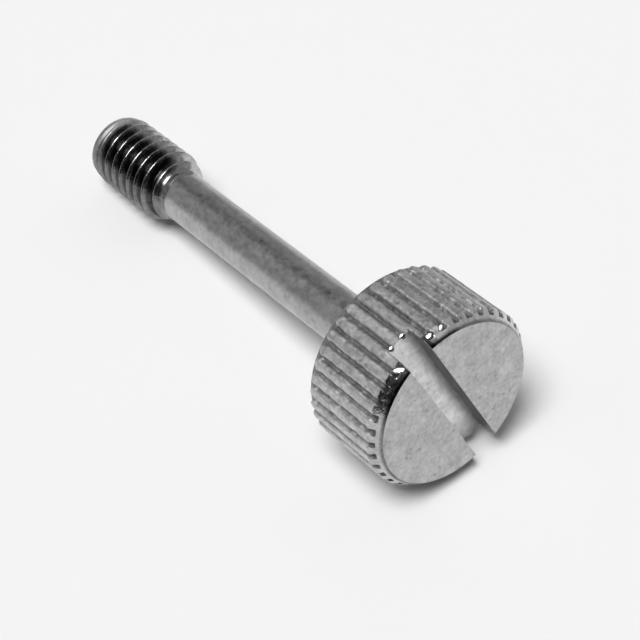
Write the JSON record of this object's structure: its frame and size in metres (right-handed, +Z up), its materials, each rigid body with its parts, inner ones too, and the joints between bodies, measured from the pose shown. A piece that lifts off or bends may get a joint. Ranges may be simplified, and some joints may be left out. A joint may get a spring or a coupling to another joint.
{
  "type": "captive screw",
  "caption": "Slotted captive panel screw: straight-knurled cylindrical head, long plain neck thinner than the thread, and a short threaded end with a rounded shoulder.",
  "frame": {"origin": "middle of the bounding box in X and Y, at the level of the surface that the screw lies on", "axes": "+Z up; +X along the screw as it lies, from the threaded end to the slotted face; the screw's own axis rises 6.86 degrees towards +X, because the head is thicker than the thread; +Y completes the right-handed frame"},
  "size_m": [0.0286, 0.0094, 0.0099],
  "materials": {
    "steel": "satin, fine matte grain on the head, smoother on the chamfer and thread"
  },
  "bodies": {
    "root": {"captive_screw": "steel"}
  },
  "joints": []
}
